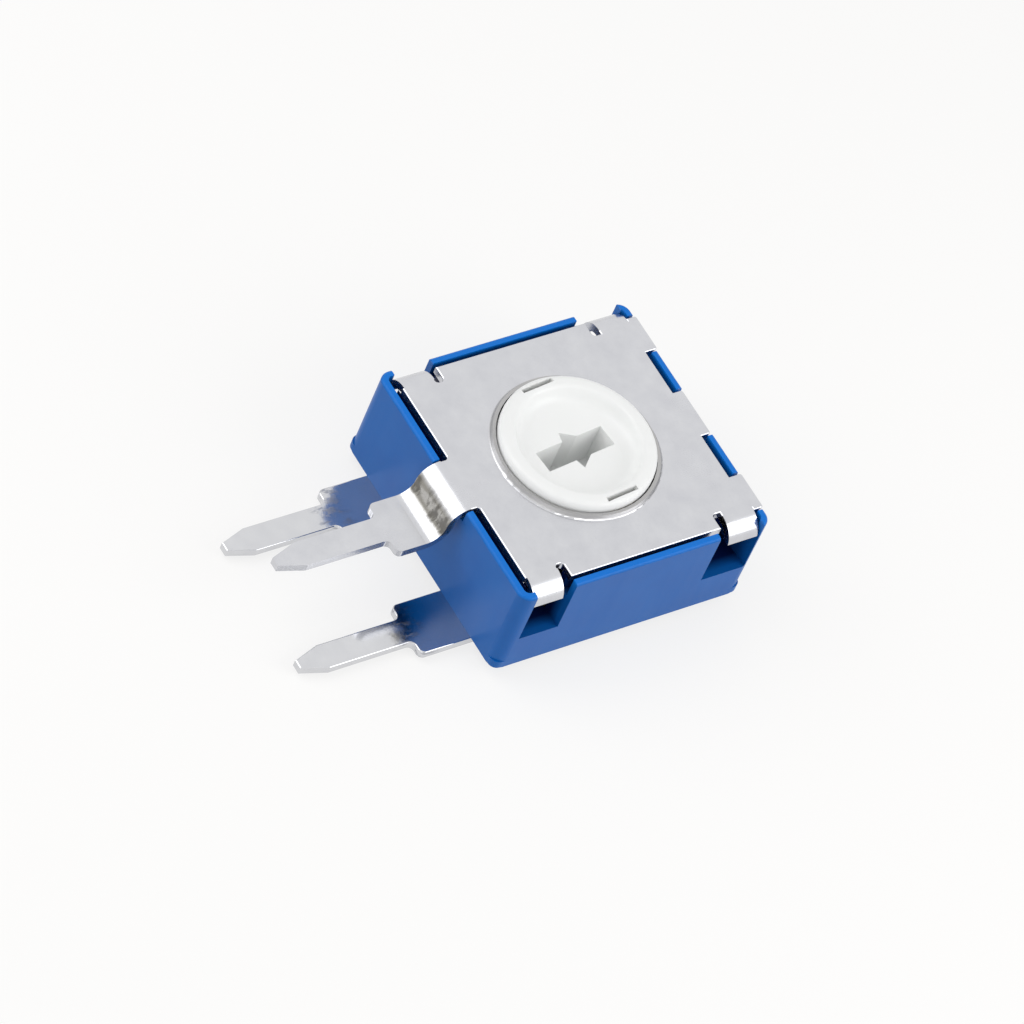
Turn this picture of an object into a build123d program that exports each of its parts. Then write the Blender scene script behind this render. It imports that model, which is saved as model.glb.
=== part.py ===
from build123d import *
import math
import os

# Trimmer potentiometer, 10 mm class, with three flat pins out of its front side.
# Frame: +Z is the rotor's axis with the metal cover on top, the pins point to -Y,
# and the origin is on the rotor's axis in the plane that the part lies on.
# Lengths are in millimetres, angles in degrees.

# Driving dimensions of the housing
body_x = 10.0
body_y = 10.2
wall_bottom = 0.5
wall_height = 3.9
corner_radius = 0.45
foot_height = 0.35
foot_corner_radius = 0.3
foot_edge_radius = 0.05
rim_thickness = 0.25
wall_thickness = 0.85
edge_radius = 0.12
groove_width = 0.3
groove_depth = 0.6

# Sheet and pins
sheet = 0.3
pin_pitch = 2.54
pin_width = 0.98
pin_row_offset = 2.54
root_width = 2.1
end_shoulder_y = -7.1
wiper_shoulder_y = -7.35
end_tip_y = -11.4
wiper_tip_y = -11.6
tip_length = 1.0
tip_width = 0.36
shoulder_radius = 0.22
sheet_edge_radius = 0.05

# Cover plate
plate_x = 9.2
plate_front_y = -4.55
plate_back_y = 4.65
plate_corner_radius = 0.12
plate_edge_radius = 0.06
collar_bore_radius = 2.84
collar_radius = 3.0
collar_height = 0.17
collar_foot_radius = 0.08
collar_lip_radius = 0.04
tab_width = 1.22
tab_spacing = 8.0
tab_shift = 0.12
tab_bend_start = 4.15
tab_bend_radius = 0.78
tab_bend_angle = 84
relief_width = 0.32
relief_floor = 4.0
relief_radius = 0.12
ear_reach = 5.15
middle_ear_reach = 5.04
ear_corner_radius = 0.1
side_ear_inner = 2.8
side_ear_outer = 4.3
middle_ear_width = 1.94
strap_bend_start = -4.87
strap_bend_radius = 0.75

# Windows and notches in the housing
window_inner = 2.95
window_front = 4.53
window_back = 4.78
window_height = 1.55
window_depth = 1.6
ear_clearance = 0.08
strap_notch_depth = 0.5

# Rotor
rotor_angle = 5.5
head_radius = 2.79
head_side_top = 4.66
crest_radius = 2.36
crest_height = 4.92
dish_radius = 1.62
dish_floor = 4.38
flange_radius = 3.45
flange_bottom = 3.35
flange_top = 4.0
hub_radius = 1.95
hub_bottom = 0.3
slot_length = 2.84
slot_width = 0.84
slot_floor = 2.6
barb_reach = 0.79
barb_tip_y = -0.16
barb_front_y = 0.38
barb_back_y = -0.26
slit_offset = 2.48
slit_width = 0.16
slit_length = 1.3
pocket_width = 1.2
pocket_inner = 2.3
pocket_outer = 2.9
pocket_top = 4.5
rear_slot_length = 2.6
rear_slot_width = 0.7
rear_slot_top = 1.6

# Rotor stop: a lug on the flange between two ribs of the housing
lug_radius = 3.95
lug_half_angle = 8
half_travel = 117.5
stop_gap_angle = 1
stop_inner_radius = 3.55
stop_outer_radius = 4.5
stop_width_angle = 18

# Resistive element and its fixings
board_thickness = 0.8
board_gap = 0.05
board_inset = 0.5
board_hole_radius = 2.0
track_radius = 3.2
track_width = 0.9
track_thickness = 0.04
track_pad_width = 1.2
rivet_y = -3.55
rivet_radius = 0.42
rivet_bore_radius = 0.24
rivet_head_radius = 0.6
rivet_head = 0.2
rivet_gap = 0.01
stake_x = 3.6
stake_y = 3.6
stake_radius = 0.5
stake_head_radius = 0.8
stake_gap = 0.05
block_reach = 2.98
block_bottom = 1.75

# Wiper spring
spring = 0.15
spring_inner_radius = 2.0
spring_outer_radius = 3.25
finger_width = 0.8
tongue_width = 1.0
tongue_sheet = 0.12
contact_gap = 0.02

# Values worked out from those above
wall_top = wall_bottom + wall_height
plate_bottom = wall_top - sheet
terminal_bottom = wall_bottom - sheet
terminal_top = wall_bottom
wiper_top = terminal_top + pin_row_offset
board_top = wall_bottom + board_thickness
track_top = board_top + track_thickness
half_x = body_x / 2
half_y = body_y / 2
cavity_x = half_x - wall_thickness
cavity_y = half_y - wall_thickness
through = 20.0


def block(x0, x1, y0, y1, z0, z1):
    """A box between two corners."""
    centre = ((x0 + x1) / 2, (y0 + y1) / 2, (z0 + z1) / 2)
    return Pos(*centre) * Box(x1 - x0, y1 - y0, z1 - z0)


def rounded_block(width, depth, radius, z0, z1):
    """A box on the axis with its upright corners rounded."""
    return Pos(0, 0, z0) * extrude(RectangleRounded(width, depth, radius), z1 - z0)


def disc(radius, z0, z1):
    """A cylinder on the axis."""
    return Pos(0, 0, z0) * extrude(Circle(radius), z1 - z0)


def polar(radius, angle):
    """A point at an angle measured from +Y, anticlockwise."""
    turn = math.radians(angle)
    return (-radius * math.sin(turn), radius * math.cos(turn))


def sector(r0, r1, a0, a1, z0, z1):
    """A ring sector between two angles measured from +Y."""
    reach = r1 / math.cos(math.radians((a1 - a0) / 2))
    wedge = make_face(Polyline((0, 0), polar(reach, a0), polar(reach, a1), (0, 0)))
    ring = Circle(r1) - Circle(r0)
    return Pos(0, 0, z0) * extrude(ring & wedge, z1 - z0)


def round_outline(face, radius, keep):
    """Round the corners of a flat outline for which keep(point) is true."""
    corners = [v for v in face.vertices() if keep(v)]
    return fillet(corners, radius)


def edges_at_height(part, z, keep=lambda centre: True):
    """The edges that lie flat at one height."""
    found = part.edges().filter_by_position(Axis.Z, z - 1e-4, z + 1e-4)
    return [edge for edge in found if keep(edge.center())]


def make_housing():
    """Blue moulded frame: walls, plate recess, windows, corner blocks, stops, stake posts."""
    shell = rounded_block(body_x, body_y, corner_radius, wall_bottom, wall_top)
    shell = fillet(edges_at_height(shell, wall_top), edge_radius)
    foot = rounded_block(body_x, body_y, foot_corner_radius, wall_bottom, wall_bottom + foot_height)
    foot = fillet(edges_at_height(foot, wall_bottom), foot_edge_radius)
    shell += foot

    recess_x = body_x - 2 * rim_thickness
    recess_y = body_y - 2 * rim_thickness
    recess_radius = corner_radius - rim_thickness
    shell -= rounded_block(recess_x, recess_y, recess_radius, plate_bottom, through)
    shell -= rounded_block(2 * cavity_x, 2 * cavity_y, corner_radius, wall_bottom, through)
    board_x = body_x - 2 * board_inset
    board_y = body_y - 2 * board_inset
    shell -= rounded_block(board_x, board_y, recess_radius, -1, board_top)

    for side in (-1, 1):
        for end in (-1, 1):
            bottom = board_top if end > 0 else block_bottom
            x = sorted((side * block_reach, side * (half_x - rim_thickness)))
            y = sorted((end * block_reach, end * (half_y - rim_thickness)))
            shell += block(x[0], x[1], y[0], y[1], bottom, plate_bottom)
        shell += stop_rib(side)
        shell += stake_post(side)
    groove_x = recess_x - 2 * groove_width
    groove_y = recess_y - 2 * groove_width
    groove = rounded_block(recess_x, recess_y, recess_radius, plate_bottom - groove_depth, plate_bottom)
    shell -= groove - rounded_block(groove_x, groove_y, recess_radius, 0, through)
    return shell - housing_notches()


def stop_rib(side):
    """The rib that the rotor's lug meets at one end of its travel."""
    face = half_travel + lug_half_angle + stop_gap_angle
    a0, a1 = sorted((side * face, side * (face + stop_width_angle)))
    return sector(stop_inner_radius, stop_outer_radius, a0, a1, flange_bottom - spring, plate_bottom)


def stake_post(side):
    """The peg through the board, and the head formed under it when it was staked."""
    peg = disc(stake_radius, wall_bottom - contact_gap, board_top + contact_gap)
    head = disc(stake_head_radius, 0, wall_bottom)
    head = fillet(edges_at_height(head, 0), stake_head_radius / 3)
    return Pos(side * stake_x, stake_y, 0) * (peg + head)


def housing_notches():
    """Windows for the tabs, and notches for the ears and the strap."""
    cuts = []
    for side in (-1, 1):
        for end in (-1, 1):
            x = sorted((side * (half_x - window_depth), side * through))
            y = (window_inner, window_back) if end > 0 else (-window_front, -window_inner)
            cuts.append(block(x[0], x[1], y[0], y[1], wall_bottom + window_height, through))
        x = sorted((side * (side_ear_inner - ear_clearance), side * (side_ear_outer + ear_clearance)))
        cuts.append(block(x[0], x[1], half_y - wall_thickness, through, plate_bottom, through))
    middle = middle_ear_width / 2 + ear_clearance
    cuts.append(block(-middle, middle, half_y - wall_thickness, through, plate_bottom, through))
    strap = root_width / 2 + ear_clearance
    front = -half_y + wall_thickness
    cuts.append(block(-strap, strap, -through, front, wall_top - strap_notch_depth, through))
    return cuts


def pin_outline(centre_x, root_y, shoulder_y, tip_y):
    """A wide root, a shoulder and a narrow pin with a pointed tip, pointing to -Y."""
    root = root_width / 2
    pin = pin_width / 2
    tip = tip_width / 2
    right = [(root, root_y), (root, shoulder_y), (pin, shoulder_y), (pin, tip_y + tip_length)]
    right.append((tip, tip_y))
    left = [(-x, y) for x, y in reversed(right)]
    face = make_face(Polyline(*right, *left, close=True))
    face = round_outline(face, shoulder_radius, lambda v: abs(v.Y - shoulder_y) < 1e-3)
    return Pos(centre_x, 0) * face


def make_end_terminal(side):
    """Flat stamped terminal under the board, with an eye for its rivet."""
    x = side * pin_pitch
    outline = pin_outline(x, rivet_y, end_shoulder_y, end_tip_y)
    outline += Pos(x, rivet_y) * Circle(root_width / 2)
    terminal = Pos(0, 0, terminal_bottom) * extrude(outline, sheet)
    terminal = fillet(edges_at_height(terminal, terminal_top), sheet_edge_radius)
    return terminal - Pos(x, rivet_y) * disc(rivet_radius + rivet_gap, 0, through)


def make_rivet(side):
    """Hollow eyelet that clamps a terminal to the board."""
    head_top = track_top + rivet_head
    rivet = disc(rivet_radius, 0, head_top)
    rivet += disc(rivet_head_radius, 0, terminal_bottom)
    rivet += disc(rivet_head_radius, track_top, head_top)
    rivet -= disc(rivet_bore_radius, -1, through)
    rivet = fillet(edges_at_height(rivet, 0), rivet_head / 4)
    return Pos(side * pin_pitch, rivet_y, 0) * rivet


def make_resistive_element():
    """Phenolic board with the raised carbon track and its two end pads."""
    inset = 2 * (board_inset + board_gap)
    corner = corner_radius - rim_thickness
    board = rounded_block(body_x - inset, body_y - inset, corner, wall_bottom, board_top)
    end_angle = 180 - math.degrees(math.atan2(pin_pitch, -rivet_y))
    inner = track_radius - track_width / 2
    outer = track_radius + track_width / 2
    board += sector(inner, outer, -end_angle / 2, end_angle / 2, board_top, track_top)
    for side in (-1, 1):
        a0, a1 = sorted((side * end_angle / 2, side * end_angle))
        board += sector(inner, outer, a0, a1, board_top, track_top)
        pad = Pos(side * pin_pitch, rivet_y) * Circle(track_pad_width / 2)
        board += Pos(0, 0, board_top) * extrude(pad, track_thickness)
        board -= Pos(side * pin_pitch, rivet_y) * disc(rivet_radius + rivet_gap, -1, through)
        board -= Pos(side * stake_x, stake_y) * disc(stake_radius + stake_gap, -1, through)
    return board - disc(board_hole_radius, -1, through)


def make_cover_plate():
    """One stamped sheet: plate, ears, collar, four bent tabs, strap and middle terminal."""
    outline = Pos(0, (plate_front_y + plate_back_y) / 2) * Rectangle(plate_x, plate_back_y - plate_front_y)
    outline = fillet(outline.vertices(), plate_corner_radius)
    for side in (-1, 1):
        for end in (-1, 1):
            tab_inner = tab_shift + end * (tab_spacing / 2 - tab_width / 2)
            relief_inner = tab_inner - end * relief_width
            outline -= flat_rectangle(side * relief_floor, side * through, relief_inner, tab_inner)
            outline -= flat_rectangle(side * tab_bend_start, side * through, relief_inner, end * through)
        ear_root = plate_back_y - sheet
        outline += flat_rectangle(side * side_ear_inner, side * tab_bend_start, ear_root, ear_reach)
        ear_root = tab_shift + tab_spacing / 2 + tab_width / 2
        outline += flat_rectangle(side * tab_bend_start, side * side_ear_outer, ear_root, ear_reach)
    outline += flat_rectangle(-middle_ear_width / 2, middle_ear_width / 2, 0, middle_ear_reach)
    outline = round_outline(outline, ear_corner_radius, lambda v: v.Y > plate_back_y + sheet)
    reliefs = [v for v in outline.vertices() if abs(abs(v.X) - relief_floor) < 1e-3]
    reliefs = [v for v in reliefs if abs(v.Y) < tab_spacing / 2 - tab_width / 2]
    outline = fillet(reliefs, relief_radius)
    root = root_width / 2
    outline += flat_rectangle(-root, root, strap_bend_start, 0)
    outline = round_outline(
        outline, plate_corner_radius, lambda v: abs(abs(v.X) - root) < 1e-3 and abs(v.Y - plate_front_y) < 1e-3
    )
    plate = Pos(0, 0, plate_bottom) * extrude(outline, sheet)
    plate = fillet(edges_at_height(plate, wall_top, is_free_edge), plate_edge_radius)
    plate += make_collar()
    plate -= disc(collar_bore_radius, 0, through)
    for side in (-1, 1):
        for end in (-1, 1):
            plate += make_tab(side, tab_shift + end * tab_spacing / 2)
    return plate + make_strap()


def is_free_edge(centre):
    """True for an edge of the plate that neither a tab nor the strap grows out of."""
    near_tab = abs(abs(centre.Y - tab_shift) - tab_spacing / 2) < tab_width / 2
    return abs(centre.X) > 1e-3 and not (near_tab and abs(abs(centre.X) - tab_bend_start) < 1e-3)


def flat_rectangle(x0, x1, y0, y1):
    """A rectangle between two corners given in any order."""
    return Pos((x0 + x1) / 2, (y0 + y1) / 2) * Rectangle(abs(x1 - x0), abs(y1 - y0))


def make_collar():
    """The lip drawn up round the rotor, with a soft foot."""
    top = wall_top + collar_height
    foot = collar_radius + collar_foot_radius
    inside = collar_bore_radius - collar_height
    profile = Polyline((inside, plate_bottom), (foot, plate_bottom), (foot, wall_top))
    profile += RadiusArc((foot, wall_top), (collar_radius, wall_top + collar_foot_radius), collar_foot_radius)
    profile += Line((collar_radius, wall_top + collar_foot_radius), (collar_radius - collar_lip_radius, top))
    profile += Line((collar_radius - collar_lip_radius, top), (inside, top))
    profile += Line((inside, top), (inside, plate_bottom))
    return revolve(Plane.XZ * make_face(profile), Axis.Z)


def bent_strip(radius, start, angle):
    """A quarter-round strip of sheet in the XZ plane, bending down from the plate's top."""
    centre_z = wall_top - radius
    arc = CenterArc((start, centre_z), radius, 90 - angle, angle)
    inner = CenterArc((start, centre_z), radius - sheet, 90 - angle, angle)
    ends = [Line(arc @ 0, inner @ 0), Line(arc @ 1, inner @ 1)]
    return make_face([arc, inner, *ends])


def make_tab(side, centre_y):
    """A tab bent down into a side window of the housing."""
    strip = bent_strip(tab_bend_radius, tab_bend_start, tab_bend_angle)
    tab = extrude(Plane.XZ * strip, tab_width / 2, both=True)
    if side < 0:
        tab = mirror(tab, Plane.YZ)
    return Pos(0, centre_y, 0) * tab


def make_strap():
    """The strap's double bend down the front, and the middle terminal at its end."""
    strip = bent_strip(strap_bend_radius, -strap_bend_start, 90)
    drop = wall_top - wiper_top - strap_bend_radius
    low_y = -strap_bend_start + strap_bend_radius + drop
    centre = (low_y, wiper_top + drop)
    outer = CenterArc(centre, drop + sheet, 180, 90)
    inner = CenterArc(centre, drop, 180, 90)
    ends = [Line(outer @ 0, inner @ 0), Line(outer @ 1, inner @ 1)]
    strip += make_face([outer, inner, *ends])
    strap = extrude(Plane.YZ * mirror(strip, Plane.YZ), root_width / 2, both=True)
    pin = extrude(pin_outline(0, -low_y, wiper_shoulder_y, wiper_tip_y), sheet)
    return strap + Pos(0, 0, wiper_top - sheet) * pin


def make_rotor():
    """White moulded rotor: domed head, dish, arrow cross slot, flange with lug, rear boss."""
    crest = (crest_radius, crest_height)
    side_top = (head_radius, head_side_top)
    dome = Spline(side_top, crest, (dish_radius, dish_floor), tangents=((0, 1), (-1, 0), (-1, 0)))
    profile = Polyline((dish_radius, dish_floor), (0, dish_floor), (0, hub_bottom), (hub_radius, hub_bottom))
    profile += Polyline((hub_radius, hub_bottom), (hub_radius, flange_bottom), (flange_radius, flange_bottom))
    profile += Polyline((flange_radius, flange_bottom), (flange_radius, flange_top), (head_radius, flange_top))
    profile += Line((head_radius, flange_top), side_top)
    rotor = revolve(Plane.XZ * make_face([*profile.edges(), dome]), Axis.Z)
    lug = sector(flange_radius - sheet, lug_radius, -lug_half_angle, lug_half_angle, flange_bottom, flange_top)
    rotor += lug
    rotor -= Pos(0, 0, slot_floor) * extrude(slot_outline(), through)
    rotor -= Pos(0, 0, -1) * extrude(Rectangle(rear_slot_width, rear_slot_length), rear_slot_top + 1)
    for side in (-1, 1):
        slit_x = sorted((side * (slit_offset - slit_width / 2), side * (slit_offset + slit_width / 2)))
        rotor -= block(*slit_x, -slit_length / 2, slit_length / 2, flange_bottom, through)
        pocket_x = sorted((side * pocket_inner, side * pocket_outer))
        rotor -= block(*pocket_x, -pocket_width / 2, pocket_width / 2, flange_bottom, pocket_top)
    return Rot(0, 0, rotor_angle) * rotor


def slot_outline():
    """Cross slot whose side arms are swept back like the barbs of an arrow."""
    w = slot_width / 2
    end = slot_length / 2
    right = [(w, -end), (w, barb_back_y), (barb_reach, barb_tip_y), (w, barb_front_y), (w, end)]
    left = [(-x, y) for x, y in reversed(right)]
    return make_face(Polyline(*right, *left, close=True))


def make_wiper_spring():
    """Bronze ring under the flange, with a finger on the track and two tongues on the collar."""
    top = flange_bottom - contact_gap
    ring = disc(spring_outer_radius, top - spring, top) - disc(spring_inner_radius, 0, through)
    middle = top - spring / 2
    low = track_top + contact_gap + spring / 2
    knee = track_radius + spring * 3
    finger = FilletPolyline(
        (track_radius - track_width, middle), (knee, middle), (knee, low + spring * 5),
        (track_radius, low), (track_radius - track_width / 2, low + spring * 2), radius=spring * 1.5
    )
    ring += strip_along(finger, spring, finger_width, Plane.YZ)
    bulge = collar_bore_radius - contact_gap - tongue_sheet
    tongue = FilletPolyline(
        (slit_offset - tongue_sheet, middle), (slit_offset, middle), (slit_offset, flange_bottom + spring * 2),
        (bulge, (flange_top + pocket_top) / 2), (slit_offset, pocket_top - tongue_sheet), radius=tongue_sheet / 2
    )
    strip = strip_along(tongue, tongue_sheet, tongue_width, Plane.XZ)
    ring += strip
    ring += mirror(strip, Plane.YZ)
    return Rot(0, 0, rotor_angle) * ring


def strip_along(path, thickness, width, plane):
    """A bent strip of spring sheet along a path, centred on its plane."""
    return extrude(plane * trace(path, thickness), width / 2, both=True)


parts = {
    "housing": make_housing(),
    "cover_plate": make_cover_plate(),
    "rotor": make_rotor(),
    "wiper_spring": make_wiper_spring(),
    "resistive_element": make_resistive_element(),
    "end_terminal_left": make_end_terminal(-1),
    "end_terminal_right": make_end_terminal(1),
    "left_rivet": make_rivet(-1),
    "right_rivet": make_rivet(1),
}

os.makedirs("parts", exist_ok=True)
for name, shape in parts.items():
    export_step(shape, f"parts/{name}.step")
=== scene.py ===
import math

import bpy
from mathutils import Matrix, Vector


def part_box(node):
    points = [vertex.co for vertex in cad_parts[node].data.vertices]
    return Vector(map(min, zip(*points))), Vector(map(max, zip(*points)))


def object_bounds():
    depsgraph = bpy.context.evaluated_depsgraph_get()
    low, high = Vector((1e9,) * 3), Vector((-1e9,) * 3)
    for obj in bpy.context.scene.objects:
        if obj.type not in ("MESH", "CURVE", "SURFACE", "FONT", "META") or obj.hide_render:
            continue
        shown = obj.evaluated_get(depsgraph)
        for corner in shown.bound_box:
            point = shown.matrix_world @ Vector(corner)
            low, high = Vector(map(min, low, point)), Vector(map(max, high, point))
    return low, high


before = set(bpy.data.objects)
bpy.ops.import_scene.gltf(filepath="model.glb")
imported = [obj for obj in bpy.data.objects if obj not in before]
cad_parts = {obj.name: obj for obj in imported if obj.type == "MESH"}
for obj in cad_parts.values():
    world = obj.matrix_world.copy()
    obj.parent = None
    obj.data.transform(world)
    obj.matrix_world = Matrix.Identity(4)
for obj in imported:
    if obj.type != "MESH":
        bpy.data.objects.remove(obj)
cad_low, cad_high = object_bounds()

# ---------------------------------------------------------------------------
# Camera: a long lens that looks down on the cover plate and along the pins,
# tilted so that the pins run out to the left.
# ---------------------------------------------------------------------------
MM = 0.001
camera_azimuth = math.radians(39.46)
camera_elevation = math.radians(48.94)
camera_roll = math.radians(25.2)
camera_distance = 228.35 * MM
camera_lens = 239.35
middle = (cad_low + cad_high) / 2
aim = middle + Vector((0.84, 0.60, 0.54)) * MM

flat_back = Vector((math.sin(camera_azimuth), -math.cos(camera_azimuth), 0))
back = flat_back * math.cos(camera_elevation) + Vector((0, 0, math.sin(camera_elevation)))
camera_data = bpy.data.cameras.new("studio_camera")
camera_data.lens = camera_lens
camera_data.clip_start = 1 * MM
camera_data.clip_end = 5
camera = bpy.data.objects.new("studio_camera", camera_data)
bpy.context.scene.collection.objects.link(camera)
camera.rotation_mode = "QUATERNION"
level = (-back).to_track_quat("-Z", "Y")
camera.rotation_quaternion = Matrix.Rotation(camera_roll, 3, back).to_quaternion() @ level
camera.location = aim + back * camera_distance
bpy.context.scene.camera = camera

# ---------------------------------------------------------------------------
# Studio: a white room that metal and camera see as plain white, a large soft
# lamp behind and to the right, one high on the left and a weak one in front.
# ---------------------------------------------------------------------------
bpy.context.scene.view_settings.view_transform = "Standard"


class Wire:
    """An output in a node tree. Arithmetic on it adds Math nodes; node() adds any other node."""

    def __init__(self, tree, socket=None):
        self.tree = tree
        self.socket = socket

    def node(self, kind, settings=None, out=0, **values):
        """Adds a node. settings are set first; values are given by socket name, _ for a space."""
        made = self.tree.nodes.new(kind)
        for key, value in (settings or {}).items():
            setattr(made, key, value)
        for key, value in values.items():
            self.feed(made, key, value)
        return Wire(self.tree, made.outputs[out] if made.outputs else None)

    def feed(self, made, key, value):
        """Sets or links one input, found by its number after an 'i' or by its name."""
        number = key[1:] if key[0] == "i" and key[1:].isdigit() else None
        socket = made.inputs[int(number) if number else key.replace("_", " ")]
        if isinstance(value, Wire):
            self.tree.links.new(value.socket, socket)
        else:
            socket.default_value = value

    def maths(self, operation, first, second, clamp=False):
        settings = {"operation": operation, "use_clamp": clamp}
        return self.node("ShaderNodeMath", settings, i0=first, i1=second)

    def __add__(self, other):
        return self.maths("ADD", self, other)

    def __sub__(self, other):
        return self.maths("SUBTRACT", self, other)

    def __rsub__(self, other):
        return self.maths("SUBTRACT", other, self)

    def __mul__(self, other):
        return self.maths("MULTIPLY", self, other)

    def clamp(self):
        return self.maths("ADD", self, 0.0, clamp=True)


def seen_directly(wire):
    """1 for rays from the camera, a mirror or through glass, 0 for light."""
    path = "ShaderNodeLightPath"
    camera_ray = wire.node(path, out="Is Camera Ray")
    glossy_ray = wire.node(path, out="Is Glossy Ray")
    return (camera_ray + glossy_ray + wire.node(path, out="Is Transmission Ray")).clamp()


room_light = 0.55
world = bpy.data.worlds.new("white_room")
bpy.context.scene.world = world
world.use_nodes = True
world.node_tree.nodes.clear()
sky = Wire(world.node_tree)
brightness = seen_directly(sky) * (1 - room_light) + room_light
room = sky.node("ShaderNodeBackground", Color=(1, 1, 1, 1), Strength=brightness)
sky.node("ShaderNodeOutputWorld", Surface=room)


def soft_lamp(name, direction, distance, width, height, power):
    """A soft box that faces the object."""
    data = bpy.data.lights.new(name, "AREA")
    data.shape = "RECTANGLE"
    data.size = width * MM
    data.size_y = height * MM
    data.energy = power
    lamp = bpy.data.objects.new(name, data)
    bpy.context.scene.collection.objects.link(lamp)
    towards = Vector(direction).normalized()
    lamp.location = middle + towards * distance * MM
    lamp.rotation_mode = "QUATERNION"
    lamp.rotation_quaternion = towards.to_track_quat("Z", "Y")


soft_lamp("key_box", (0.73, 0.55, 0.50), 90, 70, 70, 0.032)
soft_lamp("left_box", (-0.42, -0.52, 0.62), 90, 60, 118, 0.036)
soft_lamp("front_box", (0.8, -0.9, 0.5), 120, 60, 60, 0.008)

# The floor is plain white paper. Most of its brightness is its own, so that
# only a faint soft shadow is left round the part.
floor_shadow = 0.25
bpy.ops.object.select_all(action="DESELECT")
bpy.ops.mesh.primitive_plane_add(size=2.0, location=(0, 0, cad_low.z - 0.01 * MM))
floor = bpy.context.object
floor.name = "studio_floor"
bpy.ops.object.transform_apply(location=True, rotation=True, scale=True)
paper = bpy.data.materials.new("floor_paper")
paper.use_nodes = True
paper.node_tree.nodes.clear()
floor_wire = Wire(paper.node_tree)
lit = floor_wire.node("ShaderNodeBsdfDiffuse", Color=(0.95, 0.93, 0.90, 1))
glow = floor_wire.node("ShaderNodeEmission", Color=(1, 1, 1, 1), Strength=1.0)
white_share = seen_directly(floor_wire) * (1 - floor_shadow)
mixed = floor_wire.node("ShaderNodeMixShader", i0=white_share, i1=lit, i2=glow)
floor_wire.node("ShaderNodeOutputMaterial", Surface=mixed)
floor.data.materials.append(paper)

# ---------------------------------------------------------------------------
# Housing: one moulding in blue thermoplastic. Four walls, a recess for the
# plate, windows for its tabs, and posts staked over the board underneath.
# ---------------------------------------------------------------------------


def new_material(name):
    """An empty material and the wire that builds it."""
    material = bpy.data.materials.new(name)
    material.use_nodes = True
    material.node_tree.nodes.clear()
    return material, Wire(material.node_tree)


def in_millimetres(wire):
    """Object coordinates, scaled so that one unit is a millimetre."""
    place = wire.node("ShaderNodeTexCoord", out="Object")
    return wire.node("ShaderNodeMapping", Vector=place, Scale=(1 / MM, 1 / MM, 1 / MM))


def noise(wire, place, size, detail=3.0, roughness=0.5):
    """Soft cloudy noise whose blotches are about size millimetres across."""
    return wire.node(
        "ShaderNodeTexNoise", Vector=place, Scale=1 / size, Detail=detail, Roughness=roughness
    )


def bumpy(wire, height, depth, strength):
    """A normal from a height of 0 to 1 that stands for depth in millimetres."""
    return wire.node(
        "ShaderNodeBump", Strength=strength, Distance=depth * MM, Height=height, out="Normal"
    )


def blend_colour(wire, factor, first, second):
    """Mixes two colours."""
    settings = {"data_type": "RGBA"}
    return wire.node("ShaderNodeMix", settings, out=2, i0=factor, i6=first, i7=second)


def surface(wire, **values):
    """The Principled shader and the material's output."""
    shader = wire.node("ShaderNodeBsdfPrincipled", **values)
    wire.node("ShaderNodeOutputMaterial", Surface=shader)


def finish_node(node, material):
    """Gives a carried-over node its finish in place of any it had."""
    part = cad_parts[node]
    part.data.materials.clear()
    part.data.materials.append(material)


blue_plastic, wire = new_material("blue_plastic")
place = in_millimetres(wire)
cloud = noise(wire, place, 1.6, 2.0)
grain = noise(wire, place, 0.05, 2.0)
flow = wire.node("ShaderNodeMapping", Vector=place, Scale=(1.0, 1.0, 0.12))
streaks = noise(wire, flow, 0.35, 3.0)
blue = blend_colour(wire, cloud, (0.002, 0.088, 0.36, 1), (0.004, 0.120, 0.43, 1))

# Inside the walls, in the windows and the groove, the blue is painted down to a near-black navy:
# painted shade for these recesses, fading in over their edges.
spot = wire.node("ShaderNodeVectorMath", {"operation": "ABSOLUTE"}, i0=place)
off_x = wire.node("ShaderNodeSeparateXYZ", Vector=spot, out="X")
off_y = wire.node("ShaderNodeSeparateXYZ", Vector=spot, out="Y")
height = wire.node("ShaderNodeSeparateXYZ", Vector=place, out="Z")
side_depth, front_depth, foot_top = 4.78, 4.85, 0.6
behind_side = ((side_depth - off_x) * 2.5).clamp()
behind_front = ((front_depth - off_y) * 8.0).clamp()
recess_shade = behind_side * behind_front * ((height - foot_top) * 4.0).clamp()
shaded = blend_colour(wire, recess_shade, blue, (0.001, 0.008, 0.065, 1))

# The top edge of the rim is painted a brighter, more saturated blue: a painted highlight, broken up
# by the streak noise.
rim_top = 4.27
rim_highlight = ((height - rim_top) * 9.0 + (streaks - 0.5) * 0.8).clamp()
surface(
    wire,
    Base_Color=blend_colour(wire, rim_highlight, shaded, (0.003, 0.17, 0.64, 1)),
    Roughness=streaks * 0.12 + 0.3,
    Normal=bumpy(wire, grain * 0.6 + streaks, 0.004, 0.4),
    Specular_IOR_Level=0.22,
)
finish_node("housing", blue_plastic)

# ---------------------------------------------------------------------------
# Cover plate: one stamping in tinned steel. The collar is drawn up round the
# rotor, the tabs are bent into the windows, and the strap is the middle pin.
# ---------------------------------------------------------------------------
tin, wire = new_material("tin_plate")
place = in_millimetres(wire)
mottle = noise(wire, place, 0.9, 4.0, 0.6)
broad = noise(wire, place, 3.0, 2.0)
rolling_turn = (0, 0, math.radians(35))
lay = wire.node("ShaderNodeMapping", Vector=place, Rotation=rolling_turn, Scale=(1.0, 0.05, 1.0))
scratch = noise(wire, lay, 0.05, 2.0)
grey = blend_colour(wire, mottle, (0.55, 0.555, 0.59, 1), (0.70, 0.705, 0.725, 1))
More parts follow.
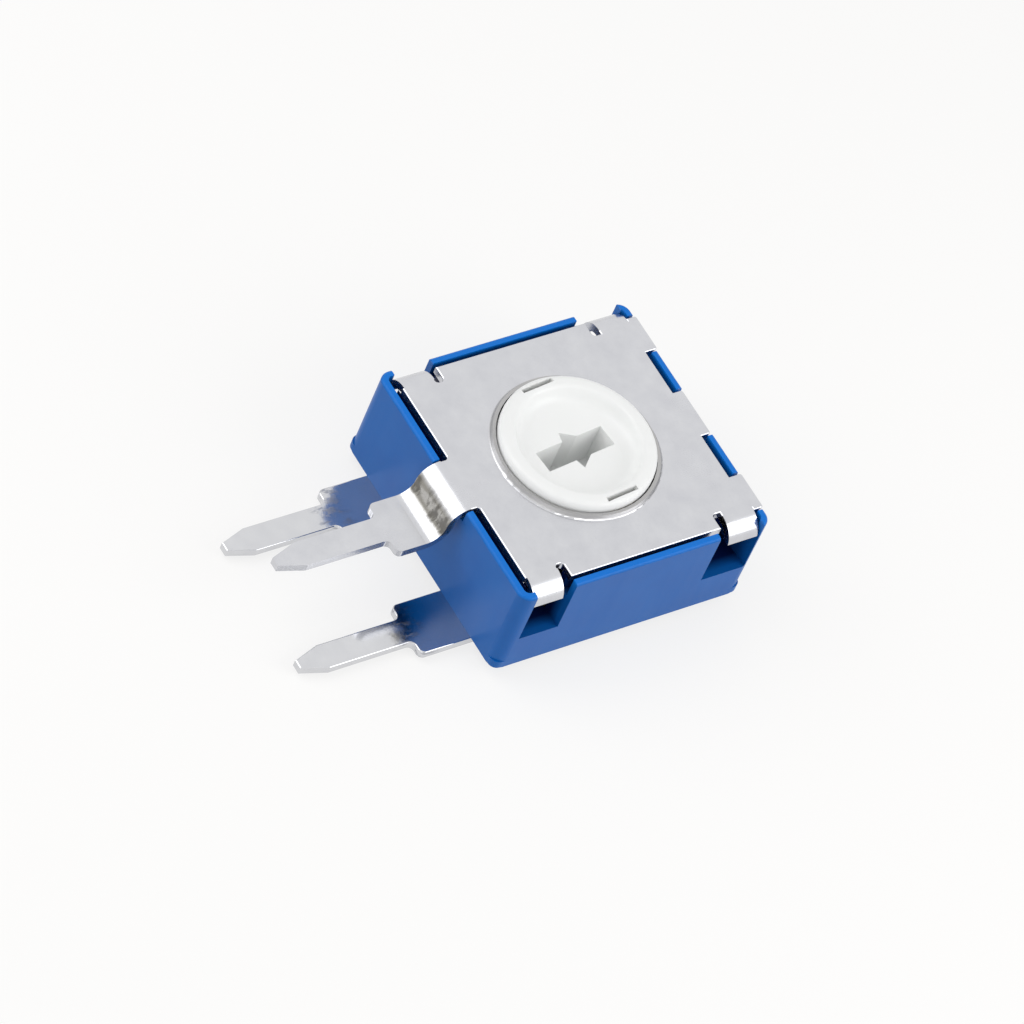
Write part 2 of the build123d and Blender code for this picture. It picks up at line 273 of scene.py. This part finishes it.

# The collar all round and the strap where it drops are painted a darker brownish grey: painted
# shade, standing for the dark surroundings these faces reflect.
# The press tool has left dark smears on the strap.
height = wire.node("ShaderNodeSeparateXYZ", Vector=place, out="Z")
along = wire.node("ShaderNodeSeparateXYZ", Vector=place, out="Y")
drawn = wire.node("ShaderNodeMapping", Vector=place, Scale=(1.0, 0.5, 0.35))
smear = noise(wire, drawn, 0.3, 4.0, 0.62)
strap_front, strap_top, strap_bottom = -5.3, 4.15, 3.2
past_front = ((strap_front - along) * 8.0).clamp()
below_top = ((strap_top - height) * 4.0).clamp()
on_strap = past_front * below_top * ((height - strap_bottom) * 8.0).clamp()
level = wire.node("ShaderNodeVectorMath", {"operation": "MULTIPLY"}, i0=place, i1=(1, 1, 0))
from_axis = wire.node("ShaderNodeVectorMath", {"operation": "LENGTH"}, i0=level, out="Value")
collar_reach = 3.06
on_collar = ((collar_reach - from_axis) * 16.0).clamp()
strap_collar_shade = (on_strap + on_collar * 0.55).clamp()
shaded_grey = blend_colour(wire, strap_collar_shade, grey, (0.31, 0.30, 0.275, 1))
scuffed = on_strap * ((smear - 0.5) * 9.0).clamp() * 0.75
surface(
    wire,
    Base_Color=blend_colour(wire, scuffed, shaded_grey, (0.09, 0.085, 0.075, 1)),
    Metallic=1.0,
    Roughness=broad * 0.16 + scratch * 0.08 + scuffed * 0.2 + on_collar * 0.12 + 0.12,
    Normal=bumpy(wire, mottle * 0.7 + scratch * 0.25, 0.006, 0.25),
)
finish_node("cover_plate", tin)

# ---------------------------------------------------------------------------
# Rotor: one moulding in white thermoplastic, held between the plate's collar
# and the board. A domed rim, a dish and an arrow-shaped cross slot.
# ---------------------------------------------------------------------------
white_plastic, wire = new_material("white_plastic")
place = in_millimetres(wire)
cloud = noise(wire, place, 0.8, 2.0)
grain = noise(wire, place, 0.06, 2.0)
white = blend_colour(wire, cloud, (0.90, 0.91, 0.90, 1), (0.93, 0.94, 0.935, 1))
surface(
    wire,
    Base_Color=white,
    Roughness=grain * 0.08 + 0.28,
    Normal=bumpy(wire, grain, 0.004, 0.3),
    Subsurface_Weight=0.15,
    Subsurface_Radius=(0.5, 0.5, 0.5),
    Subsurface_Scale=0.4 * MM,
)
finish_node("rotor", white_plastic)

# ---------------------------------------------------------------------------
# Resistive element: a punched board of brown phenolic paper. The carbon track
# and its end pads are printed on its top face.
# ---------------------------------------------------------------------------
phenolic, wire = new_material("phenolic_paper")
place = in_millimetres(wire)
fibres = noise(wire, wire.node("ShaderNodeMapping", Vector=place, Scale=(1.0, 0.2, 1.0)), 0.15, 4.0)
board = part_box("resistive_element")
height = wire.node("ShaderNodeSeparateXYZ", Vector=place, out="Z")
printed = wire.node(
    "ShaderNodeMath", {"operation": "GREATER_THAN"}, i0=height, i1=(board[1].z - 0.02 * MM) / MM
)
brown = blend_colour(wire, fibres, (0.16, 0.075, 0.03, 1), (0.27, 0.14, 0.06, 1))
surface(
    wire,
    Base_Color=blend_colour(wire, printed, brown, (0.012, 0.012, 0.013, 1)),
    Roughness=0.5 - printed * 0.15,
    Normal=bumpy(wire, fibres, 0.006, 0.5),
)
finish_node("resistive_element", phenolic)

# ---------------------------------------------------------------------------
# End terminals: two flat stampings in tinned steel under the board. They are
# smoother than the plate and mirror the housing near their roots; near the shoulders that dark
# bluish mirror image is also painted into their colour.
# ---------------------------------------------------------------------------
bright_tin, wire = new_material("bright_tin")
place = in_millimetres(wire)
ripple = noise(wire, place, 0.7, 2.0)
fine = noise(wire, place, 0.1, 4.0, 0.6)
silver = blend_colour(wire, ripple, (0.60, 0.605, 0.63, 1), (0.70, 0.705, 0.72, 1))
along = wire.node("ShaderNodeSeparateXYZ", Vector=place, out="Y")
smear_turn = (0, 0, math.radians(-40))
drawn = wire.node("ShaderNodeMapping", Vector=place, Rotation=smear_turn, Scale=(1.0, 0.4, 1.0))
smear = noise(wire, drawn, 0.22, 4.0, 0.65)
shoulder_start, shoulder_end = -6.3, -7.9
near_shoulder = ((shoulder_start - along) * 3.0).clamp() * ((along - shoulder_end) * 3.0).clamp()
# The dark bluish colour blended in near the shoulders is a painted reflection of the housing,
# broken up by smear noise.
housing_reflection = near_shoulder * ((smear - 0.5) * 8.0).clamp() * 0.45
surface(
    wire,
    Base_Color=blend_colour(wire, housing_reflection, silver, (0.13, 0.14, 0.18, 1)),
    Metallic=1.0,
    Roughness=fine * 0.08 + housing_reflection * 0.3 + 0.06,
    Normal=bumpy(wire, ripple * 0.5 + fine * 0.25 + smear * near_shoulder * 0.5, 0.01, 0.3),
)
for side in ("left", "right"):
    finish_node(f"end_terminal_{side}", bright_tin)

# ---------------------------------------------------------------------------
# Rivets: two hollow eyelets in tinned brass. Each clamps an end terminal to
# the board and is turned over on the carbon pad above.
# ---------------------------------------------------------------------------
brass, wire = new_material("tinned_brass")
place = in_millimetres(wire)
worn = noise(wire, place, 0.4, 3.0)
surface(
    wire,
    Base_Color=blend_colour(wire, worn, (0.62, 0.55, 0.38, 1), (0.68, 0.67, 0.62, 1)),
    Metallic=1.0,
    Roughness=worn * 0.15 + 0.22,
)
for side in ("left", "right"):
    finish_node(f"{side}_rivet", brass)

# ---------------------------------------------------------------------------
# Wiper spring: one stamping in rolled bronze, fixed under the rotor and turned
# with it. It is out of sight, between the rotor's flange and the board.
# ---------------------------------------------------------------------------
bronze, wire = new_material("spring_bronze")
place = in_millimetres(wire)
rolled = noise(wire, wire.node("ShaderNodeMapping", Vector=place, Scale=(0.1, 1.0, 1.0)), 0.1, 2.0)
surface(
    wire,
    Base_Color=blend_colour(wire, rolled, (0.50, 0.30, 0.14, 1), (0.60, 0.38, 0.19, 1)),
    Metallic=1.0,
    Roughness=rolled * 0.1 + 0.25,
)
finish_node("wiper_spring", bronze)
